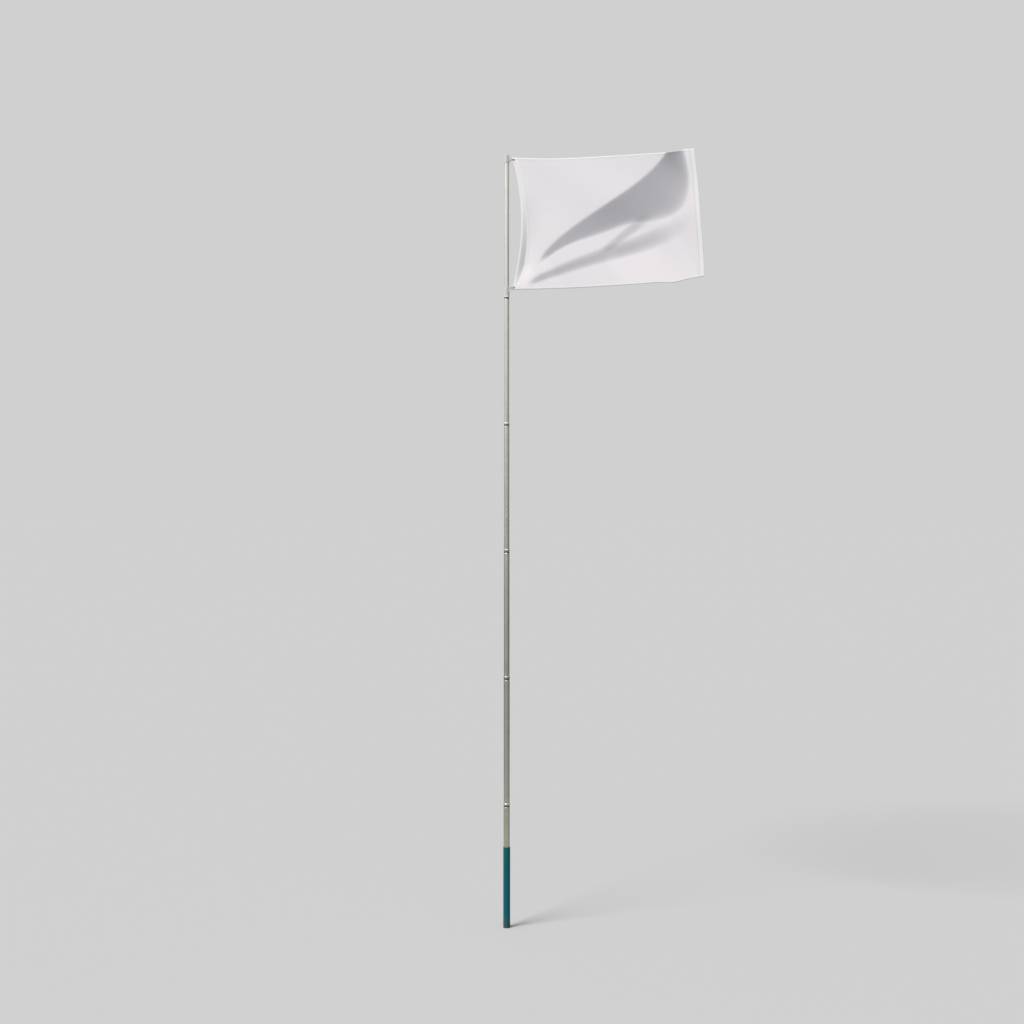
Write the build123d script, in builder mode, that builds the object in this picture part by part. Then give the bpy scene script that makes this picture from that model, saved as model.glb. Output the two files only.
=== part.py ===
from build123d import *
import math
import os

# A plug-together garden flagpole: six aluminium tubes in a ground sleeve, and a flag on two swivel rings.
# All sizes are millimetres. +Z is up, and the origin is on the pole's axis at ground level.

# Tubes, numbered from the top: each has a swaged neck that plugs up into the tube above
tube_count = 6
top_tube_od = 32.0
od_step = 2.0
tube_wall = 1.2
tube_length = 960.0
neck_length = 109.0
neck_clearance = 0.15
neck_lead_in = 0.8
shoulder_height = 5.0
lowest_shoulder_z = 818.0

# Collar pressed on each tube's lower end, and the dark seal ring between it and the tube below
collar_height = 14.0
collar_wall = 2.2
collar_round = 0.8
press_gap = 0.05
seal_height = 12.0
seal_recess = 0.5
seal_gap = 0.1

# Ground sleeve with a closed floor, and the bush that centres the lowest tube in its mouth
sleeve_height = 545.0
sleeve_wall = 1.8
sleeve_clearance = 0.8
sleeve_floor = 4.0
bush_flange = 3.0
bush_depth = 30.0
bush_gap = 0.1

# Cap on the top tube
cap_rim_height = 5.0
cap_dome = 6.0
cap_plug_length = 22.0
cap_plug_wall = 2.5
cap_gap = 0.1

# Swivel rings, their loop-shaped lugs, and the stop ring that carries each. The pieces of the flag and
# its rings are shaped along +X, and then turned about the pole to where the wind holds them.
flag_turn = -35.0
ring_height = 38.0
ring_wall = 2.0
ring_gap = 0.4
ring_edge = 0.6
lug_reach = 36.0
lug_thickness = 4.0
lug_corner = 7.0
slot_width = 10.0
slot_height = 22.0
slot_bar = 3.5
upper_stop_height = 8.0
lower_stop_height = 21.0
rest_gap = 0.3

# Snap clips of round wire: one end hangs in the lug's slot, the other goes through the grommet
clip_wire = 4.0
clip_width = 16.0
clip_end_x = 58.5
clip_gate_gap = 0.3
clip_slack = 0.4

# Grommets: their place is measured from the flag's hoist edge, and from its top or bottom edge
grommet_bore = 10.0
grommet_barrel_wall = 1.5
grommet_od = 20.0
grommet_flange = 0.8
grommet_gap = 0.3
grommet_inset = 16.0
grommet_drop = 17.0
grommet_sag = 2.0

# Flag: the outline of the cloth as it flies. The hoist edge bows away from the pole between its two
# corners, and the fly end droops.
cloth_thickness = 2.0
hoist_bow = 76.0
fly_bow = 9.0
fly_top_x = 1358.0
fly_bottom_x = 1432.0
fly_top_droop = 148.0
fly_bottom_droop = 20.0
top_sag = 14.0
bottom_sag = 18.0
cloth_tab = 0.10
tab_blend = 0.18

# Deep fold of the flag: below a crest that climbs from its tip to the top edge, the cloth drops away
deep_tip_x = 262.0
deep_tip_height = 170.0
deep_heading = 31.3
deep_reach = 1155.0
deep_curl = 46.0
deep_lip = 34.0
deep_spread = 0.325
deep_growth = 1.6
deep_steepness = 0.48

# Shallow fold below it, which starts at the lower corner and dies out before it reaches the fly end
low_tip_x = 128.0
low_tip_height = 32.0
low_heading = 16.5
low_reach = 1050.0
low_lip = 14.0
low_spread = 0.0667
low_growth = 0.7
low_steepness = 0.27
low_fade = 0.6
low_return = 220.0

# What both folds share, and the net of control points that the cloth is drawn with
fold_start = 100.0
fold_closing = 10
fold_lift = 0.38
net_columns = 17
net_rows = 13
net_rounds = 4

os.makedirs("parts", exist_ok=True)


def tube_radius(number):
    """Outer radius of a tube's body, counted from 1 at the top."""
    return (top_tube_od + od_step * (number - 1)) / 2


def neck_radius(number):
    """Outer radius of the neck on top of a tube, which slides into the bore of the tube above."""
    return tube_radius(number - 1) - tube_wall - neck_clearance


def shoulder_z(number):
    """Height at which a tube's full diameter ends and its shoulder begins."""
    pitch = tube_length - neck_length + seal_height
    return lowest_shoulder_z + (tube_count - number) * pitch


def tube_foot_z(number):
    """Height of a tube's lower end: on the seal ring below it, or on the sleeve's floor."""
    if number == tube_count:
        return sleeve_floor
    return shoulder_z(number + 1) + seal_height


def write(builder, name, turn=0.0):
    """Labels a finished piece, turned about the pole's axis, and writes its STEP file."""
    piece = builder.part.rotate(Axis.Z, turn)
    piece.label = name
    export_step(piece, f"parts/{name}.step")


# Tube bodies with swaged necks. The top tube has a plain end.
for number in range(1, tube_count + 1):
    foot = tube_foot_z(number)
    body_r = tube_radius(number)
    with BuildPart() as tube:
        with BuildSketch(Plane.XZ) as wall:
            with BuildLine():
                if number == 1:
                    top = foot + tube_length
                    Polyline(
                        (body_r - tube_wall, foot),
                        (body_r, foot),
                        (body_r, top),
                        (body_r - tube_wall, top),
                        close=True,
                    )
                else:
                    shoulder = shoulder_z(number)
                    neck_r = neck_radius(number)
                    neck_top = shoulder + neck_length
                    Polyline(
                        (body_r - tube_wall, foot),
                        (body_r, foot),
                        (body_r, shoulder),
                        (neck_r, shoulder + shoulder_height),
                        (neck_r, neck_top - neck_lead_in),
                        (neck_r - neck_lead_in, neck_top),
                        (neck_r - tube_wall, neck_top),
                        (neck_r - tube_wall, shoulder + shoulder_height),
                        (body_r - tube_wall, shoulder),
                        close=True,
                    )
            make_face()
        revolve(axis=Axis.Z)
    write(tube, f"tube_{number}")

# Collars and seals at the five joints, numbered by the tube above
for number in range(1, tube_count):
    foot = tube_foot_z(number)
    bore_r = tube_radius(number) + press_gap
    with BuildPart() as collar:
        with BuildSketch(Plane.XY.offset(foot)):
            Circle(bore_r + collar_wall)
            Circle(bore_r, mode=Mode.SUBTRACT)
        extrude(amount=collar_height)
        outer_edges = collar.edges().filter_by(GeomType.CIRCLE).sort_by(SortBy.RADIUS)[-2:]
        fillet(outer_edges, radius=collar_round)
    write(collar, f"joint_collar_{number}")

    shoulder = shoulder_z(number + 1)
    outer_r = tube_radius(number + 1) - seal_recess
    inner_r = neck_radius(number + 1) + seal_gap
    cone_slope = shoulder_height / (tube_radius(number + 1) - neck_radius(number + 1))
    cone_lift = seal_gap * (1 + cone_slope**2) ** 0.5
    with BuildPart() as seal:
        with BuildSketch(Plane.XZ):
            with BuildLine():
                Polyline(
                    (outer_r, shoulder + cone_lift + seal_recess * cone_slope),
                    (outer_r, shoulder + seal_height),
                    (inner_r, shoulder + seal_height),
                    (inner_r, shoulder + cone_lift + shoulder_height),
                    close=True,
                )
            make_face()
        revolve(axis=Axis.Z)
    write(seal, f"joint_seal_{number}")

# Ground sleeve: a tube with a closed floor, shown from ground level up
sleeve_bore_r = tube_radius(tube_count) + sleeve_clearance
sleeve_r = sleeve_bore_r + sleeve_wall
with BuildPart() as sleeve:
    with BuildSketch():
        Circle(sleeve_r)
    extrude(amount=sleeve_height)
    with BuildSketch(Plane.XY.offset(sleeve_floor)):
        Circle(sleeve_bore_r)
    extrude(amount=sleeve_height - sleeve_floor, mode=Mode.SUBTRACT)
write(sleeve, "ground_sleeve")

# Bush in the sleeve's mouth: a flange on the rim and a thin skirt round the tube
bush_inner_r = tube_radius(tube_count) + bush_gap
bush_outer_r = sleeve_bore_r - bush_gap
with BuildPart() as bush:
    with BuildSketch(Plane.XZ):
        with BuildLine():
            Polyline(
                (bush_inner_r, sleeve_height - bush_depth),
                (bush_outer_r, sleeve_height - bush_depth),
                (bush_outer_r, sleeve_height),
                (sleeve_r, sleeve_height),
                (sleeve_r, sleeve_height + bush_flange),
                (bush_inner_r, sleeve_height + bush_flange),
                close=True,
            )
        make_face()
    revolve(axis=Axis.Z)
write(bush, "sleeve_bush")

# Cap: a hollow plug in the top tube under a domed head as wide as the swivel rings
mast_top = tube_foot_z(1) + tube_length
ring_bore_r = tube_radius(1) + ring_gap
ring_r = ring_bore_r + ring_wall
cap_plug_r = tube_radius(1) - tube_wall - cap_gap
with BuildPart() as cap:
    with BuildSketch(Plane.XZ):
        with BuildLine():
            rim_top = mast_top + cap_rim_height
            outline = Polyline(
                (0, rim_top + cap_dome),
                (0, mast_top),
                (cap_plug_r - cap_plug_wall, mast_top),
                (cap_plug_r - cap_plug_wall, mast_top - cap_plug_length),
                (cap_plug_r, mast_top - cap_plug_length),
                (cap_plug_r, mast_top),
                (ring_r, mast_top),
                (ring_r, rim_top),
            )
            dome_radius = (ring_r**2 + cap_dome**2) / (2 * cap_dome)
            RadiusArc(outline @ 1, outline @ 0, -dome_radius)
        make_face()
    revolve(axis=Axis.Z)
write(cap, "head_cap")

# Heights of the swivel rings: the upper one under the cap, the lower one above the first joint
upper_ring_z = mast_top - rest_gap - ring_height
lower_ring_z = tube_foot_z(1) + collar_height + rest_gap + lower_stop_height + rest_gap
upper_slot_z = upper_ring_z + ring_height / 2
lower_slot_z = lower_ring_z + ring_height / 2

# The clip lies low in the upper slot, where the flag's weight pulls it, and high in the lower slot
clip_r = clip_wire / 2
upper_clip_z = upper_slot_z - slot_height / 2 + clip_r + clip_slack
lower_clip_z = lower_slot_z + slot_height / 2 - clip_r - clip_slack

for place, ring_z, slot_z, stop_height in (
    ("upper", upper_ring_z, upper_slot_z, upper_stop_height),
    ("lower", lower_ring_z, lower_slot_z, lower_stop_height),
):
    # Stop ring clamped on the tube, which the swivel ring turns on
    with BuildPart() as stop:
        with BuildSketch(Plane.XY.offset(ring_z - rest_gap - stop_height)):
            Circle(ring_r)
            Circle(tube_radius(1) + press_gap, mode=Mode.SUBTRACT)
        extrude(amount=stop_height)
        outer_edges = stop.edges().filter_by(GeomType.CIRCLE).sort_by(SortBy.RADIUS)[-2:]
        fillet(outer_edges, radius=ring_edge)
    write(stop, f"{place}_stop_ring")

    # Swivel ring with a loop-shaped lug for the clip
    with BuildPart() as ring:
        with BuildSketch(Plane.XY.offset(ring_z)):
            Circle(ring_r)
            Circle(ring_bore_r, mode=Mode.SUBTRACT)
        extrude(amount=ring_height)
        outer_edges = ring.edges().filter_by(GeomType.CIRCLE).sort_by(SortBy.RADIUS)[-2:]
        fillet(outer_edges, radius=ring_edge)
        root_x = ring_bore_r + ring_wall / 2
        with BuildSketch(Plane.XZ) as lug:
            with Locations(((root_x + lug_reach) / 2, slot_z)):
                Rectangle(lug_reach - root_x, ring_height - 2 * ring_edge)
            outer_corners = lug.vertices().group_by(Axis.X)[-1]
            fillet(outer_corners, radius=lug_corner)
            with Locations((lug_reach - slot_bar - slot_width / 2, slot_z)):
                SlotOverall(slot_height, slot_width, rotation=90, mode=Mode.SUBTRACT)
        extrude(amount=lug_thickness / 2, both=True)
    write(ring, f"{place}_swivel_ring", flag_turn)

# Snap clips: a wire loop in a level plane, closed on its near side by a straight gate
slot_x = lug_reach - slot_bar - slot_width / 2
clip_half = clip_width / 2
near_end_x = slot_x + clip_half
far_end_x = clip_end_x - clip_half
for place, clip_z in (("upper", upper_clip_z), ("lower", lower_clip_z)):
    with BuildPart() as clip:
        with BuildLine(Plane.XY.offset(clip_z)) as loop:
            ThreePointArc((far_end_x, -clip_half), (clip_end_x, 0), (far_end_x, clip_half))
            Line((far_end_x, clip_half), (near_end_x, clip_half))
            ThreePointArc((near_end_x, clip_half), (slot_x, 0), (near_end_x, -clip_half))
        with BuildSketch(Plane((far_end_x, -clip_half, clip_z), x_dir=(0, 0, 1), z_dir=(1, 0, 0))):
            Circle(clip_r)
        sweep(path=loop.line)
    write(clip, f"{place}_clip", flag_turn)

    with BuildPart() as gate:
        gate_start = Plane((near_end_x + clip_gate_gap, -clip_half, clip_z), x_dir=(0, 0, 1), z_dir=(1, 0, 0))
        with BuildSketch(gate_start):
            Circle(clip_r)
        extrude(amount=far_end_x - near_end_x - 2 * clip_gate_gap)
    write(gate, f"{place}_clip_gate", flag_turn)

# Places of the grommets, and the flag's corners worked out from them
grommet_play = grommet_bore / 2 - clip_r - clip_slack
grommet_x = clip_end_x + (grommet_play**2 - grommet_sag**2) ** 0.5
upper_grommet_z = upper_clip_z - grommet_sag
lower_grommet_z = lower_clip_z + grommet_sag
hoist_x = grommet_x - grommet_inset
hoist_top_z = upper_grommet_z + grommet_drop
hoist_bottom_z = lower_grommet_z - grommet_drop

grommet_barrel_r = grommet_bore / 2 + grommet_barrel_wall
flange_start = cloth_thickness / 2 + grommet_gap
flange_end = flange_start + grommet_flange
for place, grommet_z in (("upper", upper_grommet_z), ("lower", lower_grommet_z)):
    with BuildPart() as grommet:
        across = Plane((grommet_x, flange_end, grommet_z), x_dir=(1, 0, 0), z_dir=(0, -1, 0))
        with BuildSketch(across):
            Circle(grommet_barrel_r)
            Circle(grommet_bore / 2, mode=Mode.SUBTRACT)
        extrude(amount=2 * flange_end)
        for flange_y in (flange_end, -flange_start):
            flange_plane = Plane((grommet_x, flange_y, grommet_z), x_dir=(1, 0, 0), z_dir=(0, -1, 0))
            with BuildSketch(flange_plane):
                Circle(grommet_od / 2)
                Circle(grommet_bore / 2, mode=Mode.SUBTRACT)
            extrude(amount=grommet_flange)
    write(grommet, f"{place}_grommet", flag_turn)


def ease(t):
    """Smooth step from 0 to 1."""
    t = min(max(t, 0.0), 1.0)
    return t * t * (3 - 2 * t)


def flank_width(share, reach, lip, spread, growth):
    """Width of a fold's flank at a share of its crest's length: it grows, and closes near the far end."""
    return lip + spread * reach * share**growth * (1 - share**fold_closing)


def fold_drop(x, z, tip_x, tip_height, heading, reach, curl, lip, spread, growth, steepness, fade, returning):
    """How far a fold lets the cloth lie behind the flag's plane. The crest curls to both sides of its
    heading. The flank below it is straight at first and levels out at its foot. The fold dies out over the
    last share fade of its crest, and the cloth comes back within the distance returning below its foot."""
    slant = math.radians(heading)
    from_tip_x, from_tip_z = x - tip_x, z - hoist_bottom_z - tip_height
    along = from_tip_x * math.cos(slant) + from_tip_z * math.sin(slant)
    below = from_tip_x * math.sin(slant) - from_tip_z * math.cos(slant)
    share = max(0.0, along / reach)
    inner = min(share, 1.0)
    widest = (growth / (growth + fold_closing)) ** (1 / fold_closing)
    crest = -curl * (1 - share / 2) * math.sin(2 * math.pi * 1.036 * share)
    flank = flank_width(inner, reach, lip, spread, growth)
    depth = steepness * flank_width(min(inner, widest), reach, lip, spread, growth) * ease(along / fold_start)
    down = min(max((below - crest) / flank, 0.0), 1.0)
    drop = depth * (6 * down - down**6) / 5
    if fade:
        drop *= 1 - ease((inner - 1 + fade) / fade)
    if returning:
        drop *= math.exp(-((max(below - crest - flank, 0.0) / returning) ** 2))
    return drop


def cloth_drop(x, z):
    """Drop of the cloth by both folds together."""
    deep = fold_drop(
        x, z, deep_tip_x, deep_tip_height, deep_heading, deep_reach, deep_curl, deep_lip, deep_spread,
        deep_growth, deep_steepness, 0.0, 0.0
    )
    low = fold_drop(
        x, z, low_tip_x, low_tip_height, low_heading, low_reach, 0.0, low_lip, low_spread, low_growth,
        low_steepness, low_fade, low_return
    )
    return deep + low


def plane_point(u, v, bow_gain, belly_gain):
    """Place in the flag's plane: u runs from the hoist to the fly, and v from bottom to top. The gains
    enlarge the bow of the hoist and the sag of the long edges."""
    arch = 4 * v * (1 - v) * bow_gain
    belly = 4 * u * (1 - u) * belly_gain
    hoist = hoist_x + hoist_bow * arch
    fly = fly_bottom_x + (fly_top_x - fly_bottom_x) * v + fly_bow * arch
    bottom = hoist_bottom_z - fly_bottom_droop * u - bottom_sag * belly
    top = hoist_top_z - fly_top_droop * u - top_sag * belly
    return hoist + (fly - hoist) * u, bottom + (top - bottom) * v


def pull(t, degree):
    """How much each control point of a Bezier curve counts at t, from the first to the last."""
    return [math.comb(degree, k) * t**k * (1 - t) ** (degree - k) for k in range(degree + 1)]


# The cloth's control net. A Bezier surface is smoother than its net, so the net's drops are overdrawn: in
# each round, every one changes by what the surface still lacks there. The corners stay flat for the grommets.
net_u = [column / (net_columns - 1) for column in range(net_columns)]
net_v = [row / (net_rows - 1) for row in range(net_rows)]
pull_u = [pull(u, net_columns - 1) for u in net_u]
pull_v = [pull(v, net_rows - 1) for v in net_v]
free = [ease((u - cloth_tab) / tab_blend) for u in net_u]
wanted = [[cloth_drop(*plane_point(u, v, 1, 1)) * free[i] for v in net_v] for i, u in enumerate(net_u)]
net_drop = [row.copy() for row in wanted]
for net_round in range(net_rounds):
    across_rows = [[sum(w * d for w, d in zip(pulls, column)) for pulls in pull_v] for column in net_drop]
    reached = [[sum(w * c[j] for w, c in zip(pulls, across_rows)) for j in range(net_rows)] for pulls in pull_u]
    for i in range(net_columns):
        for j in range(net_rows):
            net_drop[i][j] += free[i] * (wanted[i][j] - reached[i][j])

# The net's own bow and sag are enlarged by what a Bezier curve of its degree takes off a parabola. The cloth
# is built where the wind holds it, as a smooth sheet that is turned afterwards isn't sound.
bow_gain = (net_rows - 1) / (net_rows - 2)
belly_gain = (net_columns - 1) / (net_columns - 2)
cloth_net = []
for u, drops in zip(net_u, net_drop):
    column_points = []
    for v, drop in zip(net_v, drops):
        x, z = plane_point(u, v, bow_gain, belly_gain)
        point = Vector(x, drop - cloth_thickness / 2, z + fold_lift * drop * v**2)
        column_points.append(point.rotate(Axis.Z, flag_turn))
    cloth_net.append(column_points)
cloth_face = Face.make_bezier_surface(cloth_net)
backward = Vector(0, 1, 0).rotate(Axis.Z, flag_turn)
outward = Vector(1, 0, 0).rotate(Axis.Z, flag_turn)
with BuildPart() as flag:
    thicken(cloth_face, amount=cloth_thickness, normal_override=backward)
    for grommet_z in (upper_grommet_z, lower_grommet_z):
        grommet_centre = Vector(grommet_x, 0, grommet_z).rotate(Axis.Z, flag_turn)
        with BuildSketch(Plane(grommet_centre, x_dir=outward, z_dir=-backward)):
            Circle(grommet_barrel_r + press_gap)
        extrude(amount=2 * cloth_thickness, both=True, mode=Mode.SUBTRACT)
write(flag, "flag_cloth")
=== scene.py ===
import math
import bpy
import numpy as np
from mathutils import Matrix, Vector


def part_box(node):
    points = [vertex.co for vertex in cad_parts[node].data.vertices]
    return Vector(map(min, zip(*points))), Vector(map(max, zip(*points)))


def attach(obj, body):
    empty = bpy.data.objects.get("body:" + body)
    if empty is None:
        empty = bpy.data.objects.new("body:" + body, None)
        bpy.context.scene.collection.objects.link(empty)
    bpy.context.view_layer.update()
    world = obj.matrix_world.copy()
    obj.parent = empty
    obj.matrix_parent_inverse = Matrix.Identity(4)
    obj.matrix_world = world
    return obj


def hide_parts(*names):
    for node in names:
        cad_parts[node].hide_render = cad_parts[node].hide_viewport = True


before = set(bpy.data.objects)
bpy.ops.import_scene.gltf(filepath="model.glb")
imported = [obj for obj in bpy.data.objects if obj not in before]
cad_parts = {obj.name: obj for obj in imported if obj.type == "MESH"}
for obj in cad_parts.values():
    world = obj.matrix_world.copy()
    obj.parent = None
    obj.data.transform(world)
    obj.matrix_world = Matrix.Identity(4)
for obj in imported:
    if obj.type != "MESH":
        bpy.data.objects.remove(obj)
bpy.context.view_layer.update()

# Camera: level, a little above the middle of the pole, and 9.57 m in front of it, as the photograph was
# taken. It stands slightly to the right of the pole, which brings the pole left of the frame's middle.
camera_aside = 0.036
camera_distance = 9.57
camera_height = 2.824
camera_data = bpy.data.cameras.new("camera")
camera_data.lens = 49.48
camera = bpy.data.objects.new("camera", camera_data)
camera.location = (camera_aside, -camera_distance, camera_height)
camera.rotation_euler = (math.pi / 2, 0, 0)
bpy.context.scene.collection.objects.link(camera)
bpy.context.scene.camera = camera
bpy.context.scene.view_settings.view_transform = "Standard"


def add_node(tree, kind, inputs=None, **settings):
    """A shader node of that kind with its settings. inputs gives a socket a value, or an output to read."""
    node = tree.nodes.new("ShaderNode" + kind)
    for setting, value in settings.items():
        setattr(node, setting, value)
    for socket, value in (inputs or {}).items():
        if isinstance(value, bpy.types.NodeSocket):
            tree.links.new(value, node.inputs[socket])
        else:
            node.inputs[socket].default_value = value
    return node


def mixed(tree, factor, first, second):
    """The colour between first, at factor 0, and second, at factor 1."""
    return add_node(tree, "Mix", {0: factor, 6: first, 7: second}, data_type="RGBA").outputs[2]


def ramp(tree, value, low, high, start=0.0, end=1.0, smooth=False):
    """Goes from start, where the value is low or less, to end, where it is high or more: evenly, or as a
    smooth step."""
    span = {"Value": value, "From Min": low, "From Max": high, "To Min": start, "To Max": end}
    kind = "SMOOTHSTEP" if smooth else "LINEAR"
    return add_node(tree, "MapRange", span, interpolation_type=kind).outputs["Result"]


# Soft studio light: a broad sky, brighter towards the upper left front, and one soft sun from there. The
# camera sees a plain pale backdrop of the floor's own tone, a little below the white of the flag. Metal
# mirrors a sky that is lighter above than near the ground, and a floor that is lighter near the pole.
towards_light = (-0.50, -0.42, 0.757)
backdrop_tone = (0.63, 0.63, 0.63, 1)
dim_side_light = (0.085, 0.11, 0.15, 1)
bright_side_light = (0.49, 0.49, 0.51, 1)
dim_side_low = (0.13, 0.135, 0.12, 1)
bright_side_low = (0.26, 0.265, 0.235, 1)
dim_side_high = (0.45, 0.45, 0.44, 1)
bright_side_high = (1.30, 1.30, 1.24, 1)
world = bpy.data.worlds.new("sky")
world.use_nodes = True
bpy.context.scene.world = world
sky = world.node_tree
sky.nodes.clear()
direction = add_node(sky, "TexCoord").outputs["Generated"]
facing = add_node(
    sky, "VectorMath", {0: direction, 1: towards_light}, operation="DOT_PRODUCT"
).outputs["Value"]
brightness = ramp(sky, facing, low=-0.6, high=0.95, smooth=True)
upward = add_node(sky, "SeparateXYZ", {"Vector": direction}).outputs["Z"]
elevation = ramp(sky, upward, low=-0.10, high=0.19)
rays = add_node(sky, "LightPath").outputs
lighting_tone = mixed(sky, brightness, dim_side_light, bright_side_light)
low_mirrored = mixed(sky, brightness, dim_side_low, bright_side_low)
high_mirrored = mixed(sky, brightness, dim_side_high, bright_side_high)
mirrored_tone = mixed(sky, elevation, low_mirrored, high_mirrored)
unseen_tone = mixed(sky, rays["Is Glossy Ray"], lighting_tone, mirrored_tone)
seen_tone = mixed(sky, rays["Is Camera Ray"], unseen_tone, backdrop_tone)
background = add_node(sky, "Background", {"Color": seen_tone, "Strength": 1.0})
add_node(sky, "OutputWorld", {"Surface": background.outputs["Background"]})

sun_data = bpy.data.lights.new("sun", "SUN")
sun_data.energy = 2.5
sun_data.angle = math.radians(24)
sun_data.color = (1.0, 0.975, 0.945)
sun = bpy.data.objects.new("sun", sun_data)
sun_turn = math.atan2(towards_light[1], towards_light[0]) + math.pi / 2
sun.rotation_euler = (math.acos(towards_light[2]), 0, sun_turn)
bpy.context.scene.collection.objects.link(sun)

floor_reach = 600.0
near_floor_mirrored = (0.43, 0.46, 0.34, 1)
far_floor_mirrored = (0.12, 0.12, 0.105, 1)
floor_lighting = (0.33, 0.35, 0.37, 1)
floor_seen = (0.646, 0.646, 0.646, 1)
floor_mesh = bpy.data.meshes.new("floor")
floor_corners = np.array([(-1, -1, 0), (1, -1, 0), (1, 1, 0), (-1, 1, 0)]) * floor_reach
floor_mesh.from_pydata(floor_corners.tolist(), [], [(0, 1, 2, 3)])
floor = bpy.data.objects.new("floor", floor_mesh)
bpy.context.scene.collection.objects.link(floor)
floor_paint = bpy.data.materials.new("floor_paint")
floor_paint.use_nodes = True
floor_shader = floor_paint.node_tree.nodes["Principled BSDF"]
floor_shader.inputs["Roughness"].default_value = 0.95
floor_shader.inputs["Specular IOR Level"].default_value = 0.0
tree = floor_paint.node_tree
floor_rays = add_node(tree, "LightPath").outputs
floor_place = add_node(tree, "TexCoord").outputs["Object"]
from_pole = add_node(tree, "VectorMath", {0: floor_place}, operation="LENGTH").outputs["Value"]
far_off = ramp(tree, from_pole, low=1.8, high=8.0)
mirrored_floor = mixed(tree, far_off, near_floor_mirrored, far_floor_mirrored)
unseen_floor = mixed(tree, floor_rays["Is Glossy Ray"], floor_lighting, mirrored_floor)
floor_tone = mixed(tree, floor_rays["Is Camera Ray"], unseen_floor, floor_seen)
tree.links.new(floor_tone, floor_shader.inputs["Base Color"])
floor_mesh.materials.append(floor_paint)


# Ground sleeve: a steel tube let into the ground and coated in a petrol blue-green. Towards its mouth a
# greener tint is painted in, which stands in for the light the upper sleeve catches. The coat is half gloss,
# with the fine peel of powder paint, small chips, and earth splashed on the foot.
def grid_mesh(name, points, around=False, along=False, keep=None):
    """A mesh of four-cornered faces between neighbours on a grid of points. around joins the last column to
    the first, along the last row to the first, and keep says which faces stay."""
    rows, columns = points.shape[:2]
    number = np.arange(rows * columns).reshape(rows, columns)
    if around:
        number = np.hstack([number, number[:, :1]])
    if along:
        number = np.vstack([number, number[:1]])
    faces = np.stack([number[:-1, :-1], number[:-1, 1:], number[1:, 1:], number[1:, :-1]], axis=-1)
    faces = faces.reshape(-1, 4) if keep is None else faces[keep]
    mesh = bpy.data.meshes.new(name)
    mesh.from_pydata(points.reshape(-1, 3).tolist(), [], faces.tolist())
    mesh.polygons.foreach_set("use_smooth", np.ones(len(mesh.polygons), dtype=bool))
    return mesh


def linked(name, mesh):
    """An object for the mesh, linked into the scene at the origin."""
    piece = bpy.data.objects.new(name, mesh)
    bpy.context.scene.collection.objects.link(piece)
    return piece


def round_edges(piece, width):
    """Breaks the piece's sharp edges with a small rounded bevel."""
    bevel = piece.modifiers.new("broken_edges", "BEVEL")
    bevel.width = width
    bevel.segments = 3
    bevel.limit_method = "ANGLE"
    bevel.angle_limit = math.radians(20)
    bevel.harden_normals = True


def turned(name, profile, edge=0.0003, steps=96):
    """A piece turned about the pole's axis: every (radius, height) of the closed profile, in metres, runs
    once round at that radius. The profile goes up its outside and down its inside."""
    angle = np.linspace(0, 2 * np.pi, steps, endpoint=False)
    radius, height = np.array(profile).T[:, :, None]
    points = np.stack([radius * np.cos(angle), radius * np.sin(angle), height + 0 * angle], axis=-1)
    piece = linked(name, grid_mesh(name, points, around=True, along=True))
    round_edges(piece, edge)
    return piece


def dressed(piece, material, slot, body, *nodes):
    """Gives the piece its material; the slot is not used. It rides on the body and stands for the CAD nodes.
    """
    piece.data.materials.append(material)
    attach(piece, body)
    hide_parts(*nodes)


def effect(name, inputs, outputs):
    """An empty node group with the inputs (name, kind, value) and outputs (name, kind)."""
    group = bpy.data.node_groups.new(name, "ShaderNodeTree")
    for label, kind, value in inputs:
        socket = group.interface.new_socket(label, in_out="INPUT", socket_type="NodeSocket" + kind)
        socket.default_value = value
    for label, kind in outputs:
        group.interface.new_socket(label, in_out="OUTPUT", socket_type="NodeSocket" + kind)
    return group, group.nodes.new("NodeGroupInput").outputs, group.nodes.new("NodeGroupOutput").inputs


def calculated(tree, operation, *values):
    """What the operation makes of the values, each of them a number or an output to read."""
    return add_node(tree, "Math", dict(enumerate(values)), operation=operation).outputs[0]


# Weathering: patches of a second colour in soft clouds, Size to the metre, over Amount of the surface
weathering, given, result = effect(
    "weathering",
    [("Clean", "Color", (1, 1, 1, 1)), ("Stain", "Color", (0.5, 0.5, 0.5, 1)), ("Amount", "Float", 0.3),
     ("Size", "Float", 20.0)],
    [("Color", "Color"), ("Mask", "Float")],
)
place = add_node(weathering, "TexCoord").outputs["Object"]
clouds = add_node(
    weathering, "TexNoise", {"Vector": place, "Scale": given["Size"], "Detail": 7.0, "Roughness": 0.62}
).outputs["Fac"]
cloud_mask = ramp(weathering, clouds, low=0.42, high=0.72)
stain_mask = calculated(weathering, "MULTIPLY", cloud_mask, given["Amount"])
weathering.links.new(mixed(weathering, stain_mask, given["Clean"], given["Stain"]), result["Color"])
weathering.links.new(stain_mask, result["Mask"])

# Grain: noise stretched by its own count across and along the pole, as drawing, turning or moulding leaves it
grain, given, result = effect(
    "grain", [("Across", "Float", 400.0), ("Along", "Float", 400.0)], [("Height", "Float")]
)
place = add_node(grain, "TexCoord").outputs["Object"]
counts = add_node(
    grain, "CombineXYZ", {"X": given["Across"], "Y": given["Across"], "Z": given["Along"]}
).outputs["Vector"]
stretched = add_node(grain, "VectorMath", {0: place, 1: counts}, operation="MULTIPLY").outputs["Vector"]
streaks = add_node(grain, "TexNoise", {"Vector": stretched, "Scale": 1.0, "Detail": 3.0}).outputs["Fac"]
grain.links.new(streaks, result["Height"])

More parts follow.
